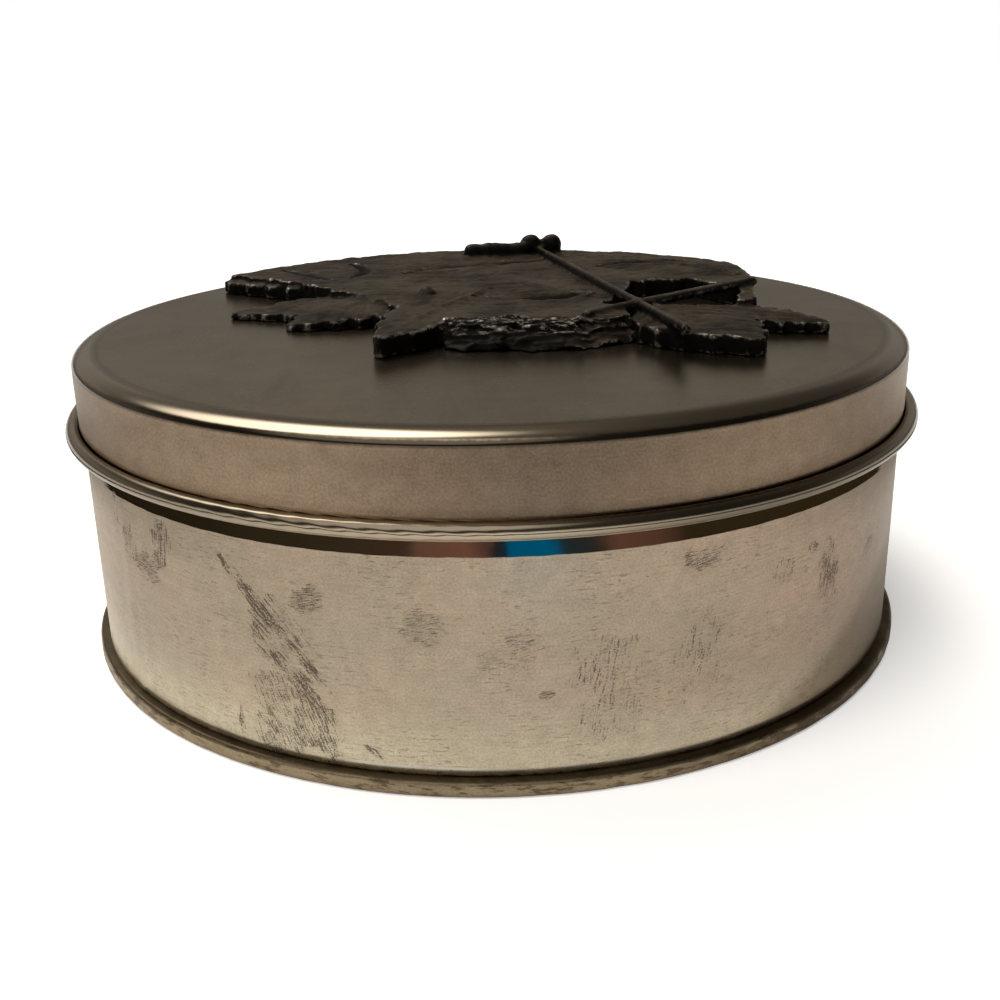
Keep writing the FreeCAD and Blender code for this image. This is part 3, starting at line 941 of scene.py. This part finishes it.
def leaf_mesh(leaf, rows=96, half_columns=14):
    """A closed relief block: a domed blade with a midrib, veins and a toothed edge."""
    start = np.array(leaf.base, float)
    axis = np.array(leaf.tip, float) - start
    length = np.linalg.norm(axis)
    axis /= length
    side = np.array([-axis[1], axis[0]])
    columns = 2 * half_columns + 1
    u = np.linspace(0, 1, rows)
    v = np.linspace(-1, 1, columns)
    swell = np.sin(pi * np.clip(u, 0, 1) ** 0.8)
    half = leaf.half_width * swell + 0.25
    top = np.zeros((rows, columns, 3))
    for j, across in enumerate(v):
        phase = (u * leaf.teeth + 0.13 * leaf.seed * (across > 0)) % 1.0
        tooth = np.where(phase < 0.7, phase / 0.7, (1 - phase) / 0.3)
        reach = leaf.tooth * (0.35 + 0.65 * swell) * tooth * abs(across) ** 6
        offset = np.sign(across) * (abs(across) * half + reach)
        lean = (tooth * abs(across) ** 6) * 0.5
        along = np.clip(u * length + lean * leaf.tooth, 0, length)
        xy = start + axis * along[:, None] + side * offset[:, None]
        dome = DOME * (1 - across ** 2) * swell
        rib = RIB * np.exp(-((offset / 0.55) ** 2)) * (1 - u)
        vein_phase = (u * leaf.teeth - abs(across) * 1.6) % 1.0
        groove = np.exp(-(((vein_phase - 0.5) / 0.11) ** 2)) * min(1.0, 4 * abs(across))
        droop = leaf.curl * (u ** 3 + 0.25 * across ** 4)
        height = leaf.top - DOME + dome + rib - VEIN_DEPTH * groove * swell - droop
        top[:, j, :2] = xy
        top[:, j, 2] = LID_TOP + height
    rough = soft_noise(top.reshape(-1, 3), 2.4, leaf.seed).reshape(rows, columns)
    top[:, :, 2] += rough * LEAF_SKIN
    return relief_block(top)


def sleeve(sides, rings):
    """The faces round a stack of rings, numbered ring by ring, and its two ends."""
    faces = []
    for i in range(rings - 1):
        for k in range(sides):
            m = (k + 1) % sides
            faces.append((i * sides + k, i * sides + m, (i + 1) * sides + m, (i + 1) * sides + k))
    faces.append(tuple(range(sides))[::-1])
    faces.append(tuple(range((rings - 1) * sides, rings * sides)))
    return faces


def relief_block(top, foot_rows=4, roughness=0.22):
    """Closes a height grid into a solid that stands on the lid, its side slightly rough."""
    rows, columns, _ = top.shape
    points = [tuple(p) for p in top.reshape(-1, 3)]
    faces = []
    for i in range(rows - 1):
        for j in range(columns - 1):
            a = i * columns + j
            faces.append((a, a + 1, a + columns + 1, a + columns))
    ring = list(range(columns))
    ring += [i * columns + columns - 1 for i in range(1, rows)]
    ring += [(rows - 1) * columns + j for j in range(columns - 2, -1, -1)]
    ring += [i * columns for i in range(rows - 2, 0, -1)]
    centre = top.reshape(-1, 3).mean(axis=0)
    previous = ring
    foot = LID_TOP + CAST_CLEAR
    for step in range(1, foot_rows + 1):
        share = step / foot_rows
        current = []
        for index in ring:
            x, y, z = points[index]
            jag = noise.noise(Vector((x, y, z * 2 + step * 3.1)) / 1.3) * roughness * (share < 1)
            out = Vector((x - centre[0], y - centre[1])).normalized()
            current.append(len(points))
            points.append((x + out.x * jag, y + out.y * jag, z + (foot - z) * share))
        for k, lower in enumerate(current):
            faces.append((previous[k - 1], previous[k], lower, current[k - 1]))
        previous = current
    faces.append(tuple(reversed(previous)))
    return points, faces


def outline_block(outline, top, bevel=0.25):
    """A flat block over a plan outline, its top edge slightly broken."""
    count = len(outline)
    area = sum(outline[i][0] * outline[(i + 1) % count][1] - outline[(i + 1) % count][0] * outline[i][1]
               for i in range(count))
    ring = outline if area > 0 else outline[::-1]
    inset = []
    for i, (x, y) in enumerate(ring):
        px, py = ring[i - 1]
        nx, ny = ring[(i + 1) % count]
        tangent = Vector((nx - px, ny - py)).normalized()
        inset.append((x - tangent.y * bevel, y + tangent.x * bevel))
    levels = [(ring, LID_TOP + CAST_CLEAR), (ring, LID_TOP + top - bevel), (inset, LID_TOP + top)]
    points = [(x, y, z) for plan, z in levels for x, y in plan]
    return points, sleeve(count, len(levels))


def on_rim(angle):
    """A point of the ornament's back edge, by its angle from the right in degrees."""
    return (sizes().rim_radius * cos(radians(angle)), sizes().rim_radius * sin(radians(angle)))


def plate_mesh():
    """The backing plate, its back edge an arc round the lid's axis."""
    outline = [on_rim(37 + 110 * i / 60) for i in range(61)]
    corners = [outline[-1], (-42, 27), (-24, 6), (-12, -14), (24, -14), (53, -3), (58, 28), outline[0]]
    for (x, y), (nx, ny) in zip(corners, corners[1:]):
        steps = max(2, int(hypot(nx - x, ny - y) / 0.9))
        for k in range(1, steps + 1):
            px = x + (nx - x) * k / steps
            py = y + (ny - y) * k / steps
            jag = noise.noise(Vector((px, py, 2.0)) / 2.6) * 1.5 + noise.noise(Vector((px, py, 6.0))) * 0.6
            outline.append((px + jag * 0.5, py + jag))
    return outline_block(outline[:-1], sizes().plate)


def window_mesh():
    """What is cut out of the plate between the stems and the rim, left ragged."""
    corners = [(21, -10), (31, 20), (44, 22), (52, 8), (47, -12), (34, -16)]
    points = []
    for i, (x, y) in enumerate(corners):
        nx, ny = corners[(i + 1) % len(corners)]
        for k in range(6):
            px = x + (nx - x) * k / 6
            py = y + (ny - y) * k / 6
            wobble = noise.noise(Vector((px, py, 4.0)) / 3.0) * 1.2
            points.append((px + wobble, py - wobble))
    solid = [(x, y, z) for z in (LID_TOP - 2, LID_TOP + 12) for x, y in points]
    return solid, sleeve(len(points), 2)


FRILL_SPAN = (-8.5, 26.0)


def frill_mesh():
    """The crumpled front between the leaves: thin glossy layers that step down to the lid."""
    plate = sizes().plate
    layers = 9
    section = [(-8, 1.0), (-8, plate + 0.3), (-19, plate + 0.5)]
    for k in range(layers):
        share = k / (layers - 1)
        y = -25.4 - 4.4 * share ** 1.4
        z = plate + 0.45 - (plate + 0.1) * share
        section += [(y + 0.9, z + 0.16), (y, z), (y + 0.5, z - 0.22)]
    section.append((-29.0, CAST_CLEAR))
    columns = 150
    left, right = FRILL_SPAN
    points = []
    for i in range(columns + 1):
        share = i / columns
        x = left + (right - left) * share
        inward = 4.5 * max(0.0, share - 0.68) / 0.32 + 2.5 * max(0.0, 0.1 - share) / 0.1
        for k, (y, z) in enumerate(section):
            layer = (k - 3) // 3
            front = min(1.0, max(0.0, (-y - 15) / 8))
            fold = noise.noise(Vector((x / 4.2, layer * 1.7, 3.0))) * 1.9
            fine = noise.noise(Vector((x / 1.3, layer * 2.3, 8.0))) * (0.8 - 0.06 * layer)
            lift = noise.noise(Vector((x / 2.6, layer * 1.3, 5.0))) * 0.55
            level = 0.0 if z < 0.1 else min(lift, 0.3) * front
            pushed = y + (inward - fold - fine) * front
            points.append((x, pushed, LID_TOP + max(z + level, CAST_CLEAR)))
    return points, sleeve(len(section), columns + 1)


def rod_mesh(start, end, thickness, sides=20, rings=60, seed=0, lumps=0.06):
    """A round rod with rounded ends and a slightly uneven surface."""
    first = Vector(start)
    run = Vector(end) - first
    length = run.length
    axis = run.normalized()
    across = axis.cross(Vector((0, 0, 1))).normalized()
    upright = across.cross(axis)
    radius = thickness / 2
    points = []
    for i in range(rings + 1):
        along = -radius + (length + 2 * radius) * (0.5 - 0.5 * cos(pi * i / rings))
        past = max(-along, along - length, 0.0)
        girth = max(radius * radius - past * past, 0.0) ** 0.5
        girth *= 1 + lumps * noise.noise(Vector((along / (3 - 4 * lumps), seed, 0)))
        centre = first + axis * along
        girth = 1e-3 if girth < 1e-4 else girth
        for k in range(sides):
            angle = tau * k / sides
            points.append(tuple(centre + (across * cos(angle) + upright * sin(angle)) * girth))
    return points, sleeve(sides, rings + 1)


def cone_mesh(centre, low, high, radius, tip, sides=28):
    """A worn pointed knop."""
    points = []
    levels = [(low, radius), (low + (high - low) * 0.35, radius * 0.62),
              (high - 0.15, tip), (high, tip * 0.4)]
    for z, r in levels:
        for k in range(sides):
            angle = tau * k / sides
            wobble = 1 + 0.12 * noise.noise(Vector((cos(angle) * 1.7, sin(angle) * 1.7, z)))
            points.append((centre[0] + r * wobble * cos(angle), centre[1] + r * wobble * sin(angle), z))
    return points, sleeve(sides, len(levels))


def stems_and_buds():
    """The crossed stems, the berries, the bud and the knop."""
    size = sizes()
    leaf_top = LID_TOP + size.plate + 0.5
    stem_z = leaf_top + size.stem / 2 - 0.4
    berry_z = leaf_top + size.berry / 2 - 1.0
    bud = 3.9
    bud_z = LID_TOP + size.plate + bud / 2 - 0.9
    pieces = [rod_mesh((12.4, 62, stem_z), (34, -36.5, stem_z), size.stem, seed=1)]
    pieces.append(rod_mesh((18, -20, stem_z - 0.4), (55.5, 13, stem_z - 0.4), size.stem + 0.4, seed=2))
    pieces.append(rod_mesh((8, 61, bud_z), (-4.2, 61, bud_z), bud, seed=3, lumps=0.3))
    for x in (10.4, 15.5):
        pieces.append(rod_mesh((x - 0.1, 63.2, berry_z), (x + 0.1, 63.2, berry_z), size.berry - 0.1, 28, 30))
    pieces.append(cone_mesh((-13, 8), LID_TOP + 1, leaf_top + 1.3, 5.5, 0.9))
    return pieces


def solid_object(name, points, faces):
    """A throwaway closed object in metres, its faces outwards."""
    mesh = new_mesh(name, points, faces)
    outward(mesh)
    return linked(name, mesh)


def combined(base, other, operation):
    """base after a boolean with other, which is used up."""
    modifier = base.modifiers.new("Join", "BOOLEAN")
    modifier.operation = operation
    modifier.solver = "MANIFOLD"
    modifier.object = other
    mesh = baked_mesh(base)
    base.modifiers.remove(modifier)
    old = base.data
    base.data = mesh
    bpy.data.meshes.remove(old)
    bpy.data.objects.remove(other)
    return base


GROOVES = [((-33, 52), (-26, 44), (-31, 33)), ((-19, 36), (-8, 47), (14, 52)),
           ((-3, 4), (10, 0), (22, 6)), ((24, 40), (34, 46), (50, 42)), ((-48, 44), (-40, 38), (-36, 30))]


def groove_depth(points):
    """How deep the carved curves cut at each point, 0 to 1."""
    depth = np.zeros(len(points))
    for start, middle, end in GROOVES:
        for t in np.linspace(0, 1, 40):
            x = (1 - t) ** 2 * start[0] + 2 * t * (1 - t) * middle[0] + t * t * end[0]
            y = (1 - t) ** 2 * start[1] + 2 * t * (1 - t) * middle[1] + t * t * end[1]
            width = 0.5 + 1.0 * sin(pi * t)
            away = ((points[:, 0] - x) ** 2 + (points[:, 1] - y) ** 2) / width ** 2
            depth = np.maximum(depth, np.exp(-away))
    return depth


def mesh_arrays(mesh):
    """Vertex places in mm, vertex normals, and the vertex pairs of the edges."""
    count = len(mesh.vertices)
    places, normals = np.empty(count * 3), np.empty(count * 3)
    mesh.vertices.foreach_get("co", places)
    mesh.vertices.foreach_get("normal", normals)
    pairs = np.empty(len(mesh.edges) * 2, dtype=np.int32)
    mesh.edges.foreach_get("vertices", pairs)
    return places.reshape(-1, 3) / MM, normals.reshape(-1, 3), pairs.reshape(-1, 2)


def spread(values, pairs):
    """The mean of each vertex's neighbours."""
    total = np.zeros_like(values)
    number = np.zeros(len(values))
    for a, b in ((0, 1), (1, 0)):
        np.add.at(total, pairs[:, a], values[pairs[:, b]])
        np.add.at(number, pairs[:, a], 1)
    number = np.maximum(number, 1)
    return total / (number if values.ndim == 1 else number[:, None])


def rough_cast(mesh):
    """Gives the casting its uneven skin and carved grooves, and marks its edges for the finish."""
    points, normals, pairs = mesh_arrays(mesh)
    round_parts = np.clip((points[:, 2] - LID_TOP - 4.7) / 0.4, 0, 1)[:, None]
    for _ in range(3):
        points = points + (spread(points, pairs) - points) * round_parts
    inside = points[:, 2] > LID_TOP + 0.1
    level = np.clip((normals[:, 2] - 0.6) / 0.3, 0, 1)
    groove_cut = 1.2
    skin = soft_noise(points, 1.3, 11) * 0.10 + soft_noise(points, 4.5, 12) * 0.22
    skin *= 1 - 0.8 * round_parts[:, 0]
    ridged = soft_noise(points * (0.35, 1.0, 1.0), 2.2, 13) * 0.22 * (1 - round_parts[:, 0])
    x, y, z = points.T
    frill = (y < -20.5) & (x > FRILL_SPAN[0] - 1.0) & (x < FRILL_SPAN[1]) & (z < LID_TOP + 4.8)
    crumple = np.abs(soft_noise(points * (0.22, 1.3, 1.3), 1.5, 14)) * 1.6 - 0.5
    crumple *= np.clip((points[:, 2] - LID_TOP) / 3.5, 0.3, 1)
    shift = skin + (ridged - groove_depth(points) * groove_cut) * level + crumple * frill
    points = points + normals * (shift * inside)[:, None]
    low, high = np.array(cast_low) / MM, np.array(cast_high) / MM
    points = np.clip(points, low + 0.005, high - 0.005)
    smooth = points
    for _ in range(4):
        smooth = spread(smooth, pairs)
    bulge = np.einsum("ij,ij->i", points - smooth, normals) / 0.4
    hollow = np.maximum(np.clip(-bulge * 1.6, 0, 1), groove_depth(points) * level)
    mesh.vertices.foreach_set("co", (points * MM).ravel())
    mesh.attributes.new("edge", "FLOAT", "POINT").data.foreach_set("value", np.clip(bulge, 0, 1))
    mesh.attributes.new("hollow", "FLOAT", "POINT").data.foreach_set("value", hollow)
    mesh.update()


def cast_mesh(material):
    """The whole casting as one closed mesh."""
    whole = solid_object("cast", *plate_mesh())
    whole = combined(whole, solid_object("cut", *window_mesh()), "DIFFERENCE")
    blocks = [frill_mesh()] + [leaf_mesh(leaf) for leaf in leaves()] + stems_and_buds()
    for points, faces in blocks:
        whole = combined(whole, solid_object("block", points, faces), "UNION")
    modifier = whole.modifiers.new("Skin", "REMESH")
    modifier.mode = "VOXEL"
    modifier.voxel_size = CAST_VOXEL * MM
    mesh = baked_mesh(whole)
    bpy.data.objects.remove(whole)
    rough_cast(mesh)
    mesh.materials.clear()
    mesh.materials.append(material)
    mesh.polygons.foreach_set("use_smooth", [True] * len(mesh.polygons))
    return mesh


# ---------------------------------------------------------------- stage

# How the camera stands: its distance in millimetres, then angles in radians
CAMERA_LENS = 44.68
CAMERA_DISTANCE = 271.2528
CAMERA_RISE = 0.4111
CAMERA_TURN = -0.0047
CAMERA_TILT = 0.0704
CAMERA_ROLL = 0.0224


def add_camera():
    """The camera, aimed at the origin and then turned, tilted and rolled a little."""
    data = bpy.data.cameras.new("camera")
    data.sensor_width = 36.0
    data.lens = CAMERA_LENS
    data.clip_start = 0.01
    data.clip_end = 50
    camera = linked("camera", data)
    position = CAMERA_DISTANCE * MM * Vector((0, -cos(CAMERA_RISE), sin(CAMERA_RISE)))
    right, back = Vector((1, 0, 0)), position.normalized()
    axes = Matrix((right, back.cross(right), back)).transposed()
    for angle, column in ((CAMERA_TURN, 1), (CAMERA_TILT, 0), (-CAMERA_ROLL, 2)):
        axes = Matrix.Rotation(angle, 3, axes.col[column]) @ axes
    camera.matrix_world = Matrix.Translation(position) @ axes.to_4x4()
    bpy.context.scene.camera = camera


def add_floor():
    """A pale floor that keeps the tin's shadow."""
    reach = 8000.0
    corners = [(-reach, -reach, 0), (reach, -reach, 0), (reach, reach, 0), (-reach, reach, 0)]
    mesh = new_mesh("floor", corners, [(0, 1, 2, 3)])
    material, g, shader = new_material("floor_pale")
    shader.inputs["Base Color"].default_value = (0.92, 0.92, 0.92, 1)
    shader.inputs["Roughness"].default_value = 0.9
    shader.inputs["Specular IOR Level"].default_value = 0.0
    seen = g.node("ShaderNodeLightPath").outputs["Is Camera Ray"]
    shader.inputs["Emission Color"].default_value = (1, 1, 1, 1)
    g.feed(shader.inputs["Emission Strength"], g.times(seen, 0.42))
    mesh.materials.append(material)
    linked("floor", mesh)


# The room that the bright strip mirrors: degrees from the front, and colours
ROOM = [(-180, (0.012, 0.008, 0.004)), (-66, (0.02, 0.015, 0.007)), (-50, (0.028, 0.022, 0.011)),
        (-36, (0.030, 0.024, 0.012)), (-24, (0.045, 0.028, 0.017)), (-18.5, (0.05, 0.03, 0.018)),
        (-15.5, (0.13, 0.068, 0.045)), (-5, (0.17, 0.08, 0.055)), (-1.5, (0.10, 0.05, 0.04)),
        (0.2, (0.012, 0.016, 0.02)), (1.8, (0.006, 0.03, 0.05)), (2.6, (0.0, 0.10, 0.225)),
        (10.5, (0.0, 0.105, 0.23)), (13, (0.012, 0.03, 0.035)), (19, (0.03, 0.026, 0.02)),
        (23, (0.12, 0.058, 0.04)), (31, (0.10, 0.048, 0.03)), (38, (0.03, 0.022, 0.01)),
        (66, (0.03, 0.02, 0.008)), (180, (0.012, 0.008, 0.004))]


def add_reflected_room():
    """A ring of dark card with coloured patches on the floor, out of view, for the bright strip."""
    inner, outer, level = 160.0, 222.0, 0.4
    count = 180
    points = []
    for i in range(count):
        turn = tau * i / count
        points += [(radius * sin(turn), -radius * cos(turn), level) for radius in (inner, outer)]
    faces = [(2 * i, 2 * i + 1, (2 * i + 3) % (2 * count), (2 * i + 2) % (2 * count)) for i in range(count)]
    mesh = new_mesh("card", points, faces)
    material = bpy.data.materials.new("card")
    material.use_nodes = True
    nodes = material.node_tree.nodes
    g = Graph(material.node_tree)
    nodes.remove(nodes["Principled BSDF"])
    place = g.node("ShaderNodeTexCoord").outputs["Object"]
    x, y, _ = g.split(place)
    turn = g.over(g.math("ARCTAN2", x, g.times(y, -1.0)), tau)
    waver = g.times(g.minus(g.noise(place, 45.0, 3.0), 0.5), 0.02)
    ramp = g.node("ShaderNodeValToRGB", {"Fac": g.plus(g.plus(turn, waver), 0.5)})
    fill_ramp(ramp, [(0.5 + azimuth / 360, colour) for azimuth, colour in ROOM])
    glow = g.node("ShaderNodeEmission", {"Color": ramp.outputs["Color"], "Strength": 1.0})
    g.feed(nodes["Material Output"].inputs["Surface"], glow.outputs[0])
    mesh.materials.append(material)
    card = linked("card", mesh)
    card.visible_camera = False
    card.visible_diffuse = False
    card.visible_shadow = False


# Where the two soft lamps of the world stand, seen from the tin
BACK_LAMP = (-0.36, 0.42, 0.83)
FRONT_LAMP = (-0.28, -0.46, 0.84)


def add_world():
    """White behind the tin; in reflections a dim room, lighter at the left, under two soft lamps."""
    world = bpy.data.worlds.new("studio")
    bpy.context.scene.world = world
    world.use_nodes = True
    g = Graph(world.node_tree)
    background = world.node_tree.nodes["Background"]
    direction = g.node("ShaderNodeTexCoord").outputs["Generated"]
    x, y, z = g.split(direction)
    azimuth = g.math("ARCTAN2", x, g.times(y, -1.0))
    back_near, front_near = (g.node("ShaderNodeVectorMath", {0: direction, 1: lamp},
                                    operation="DOT_PRODUCT").outputs["Value"]
                             for lamp in (BACK_LAMP, FRONT_LAMP))
    back = g.mix(g.ramp(z, 0.30, 0.50), (0.32, 0.29, 0.25), (0.12, 0.108, 0.09))
    room = g.mix(g.ramp(y, -0.2, 0.4), (0.06, 0.053, 0.045), back)
    left = g.band(azimuth, radians(-120), radians(-60), radians(5), radians(50))
    low = g.mix(left, (0.12, 0.10, 0.08), (0.60, 0.56, 0.50))
    room = g.mix(g.ramp(z, 0.16, 0.04), room, low)
    room = g.mix(g.ramp(front_near, 0.80, 0.94), room, (0.75, 0.71, 0.65))
    room = g.mix(g.ramp(back_near, 0.90, 0.975), room, (3.3, 3.15, 2.9))
    seen = g.node("ShaderNodeLightPath").outputs["Is Camera Ray"]
    g.feed(background.inputs["Color"], g.mix(seen, room, (1.0, 1.0, 1.0)))
    background.inputs["Strength"].default_value = 1.0


# Where the sun stands, from the front and from the floor
SUN_AZIMUTH = radians(-45)
SUN_ELEVATION = radians(66)


def add_sun():
    """One soft lamp high at the front left, which throws a pale shadow to the back right."""
    key = bpy.data.lights.new("key", "SUN")
    key.energy = 1.36
    key.angle = radians(30)
    key.color = (1.0, 0.97, 0.92)
    lamp = linked("key", key)
    level = cos(SUN_ELEVATION)
    position = Vector((sin(SUN_AZIMUTH) * level, -cos(SUN_AZIMUTH) * level, sin(SUN_ELEVATION)))
    turn = (-position).to_track_quat("-Z", "Y").to_matrix().to_4x4()
    lamp.matrix_world = Matrix.Translation(position) @ turn
    lamp.visible_glossy = False


# ---------------------------------------------------------------- operators

class TIN_OT_wall(bpy.types.Operator):
    """Turns the wall of the tin"""
    bl_idname = "tin.wall"
    bl_label = "Wall"

    def execute(self, context):
        mesh = turned_mesh("wall", wall_section(), wall_material(GROUPS))
        moved(mesh, wall_unevenness)
        place_piece("wall", mesh, "body")
        return {"FINISHED"}


class TIN_OT_base(bpy.types.Operator):
    """Turns the seamed base of the tin"""
    bl_idname = "tin.base"
    bl_label = "Base"

    def execute(self, context):
        mesh = turned_mesh("seamed_base", base_section(), base_material(GROUPS))
        moved(mesh, base_unevenness)
        place_piece("seamed_base", mesh, "base")
        return {"FINISHED"}


class TIN_OT_lid(bpy.types.Operator):
    """Turns the lid with its shoulder, skirt and rolled edge"""
    bl_idname = "tin.lid"
    bl_label = "Lid"

    def execute(self, context):
        mesh = turned_mesh("slip_lid", lid_section(), lid_material(GROUPS))
        moved(mesh, lid_unevenness)
        place_piece("slip_lid", mesh, "lid")
        return {"FINISHED"}


class TIN_OT_ornament(bpy.types.Operator):
    """Casts the leaf ornament"""
    bl_idname = "tin.ornament"
    bl_label = "Ornament"

    def execute(self, context):
        place_piece("leaf_casting", cast_mesh(cast_material(GROUPS)), "ornament")
        return {"FINISHED"}


class TIN_OT_stage(bpy.types.Operator):
    """Sets up the camera, the floor, the mirrored card and the light"""
    bl_idname = "tin.stage"
    bl_label = "Stage"

    def execute(self, context):
        add_camera()
        add_floor()
        add_reflected_room()
        add_world()
        add_sun()
        context.scene.view_settings.view_transform = "Standard"
        return {"FINISHED"}


class TIN_PT_panel(bpy.types.Panel):
    """The tin's sizes, colours and pieces"""
    bl_idname = "TIN_PT_panel"
    bl_label = "Slip-lid tin"
    bl_space_type = "VIEW_3D"
    bl_region_type = "UI"
    bl_category = "Tin"

    def draw(self, context):
        for settings in (context.scene.tin_sizes, context.scene.tin_colours):
            for name in settings.__annotations__:
                self.layout.prop(settings, name)
        for operator in (TIN_OT_wall, TIN_OT_base, TIN_OT_lid, TIN_OT_ornament, TIN_OT_stage):
            self.layout.operator(operator.bl_idname)


CLASSES = (TinSizes, TinColours, TIN_OT_wall, TIN_OT_base, TIN_OT_lid, TIN_OT_ornament,
           TIN_OT_stage, TIN_PT_panel)
GROUPS = {}


def register():
    for cls in CLASSES:
        bpy.utils.register_class(cls)
    bpy.types.Scene.tin_sizes = PointerProperty(type=TinSizes)
    bpy.types.Scene.tin_colours = PointerProperty(type=TinColours)


def unregister():
    del bpy.types.Scene.tin_colours
    del bpy.types.Scene.tin_sizes
    for cls in reversed(CLASSES):
        bpy.utils.unregister_class(cls)


def main():
    register()
    GROUPS.update(build_groups())
    bpy.ops.tin.stage()
    bpy.ops.tin.wall()
    bpy.ops.tin.base()
    bpy.ops.tin.lid()
    bpy.ops.tin.ornament()


if __name__ == "__main__":
    main()
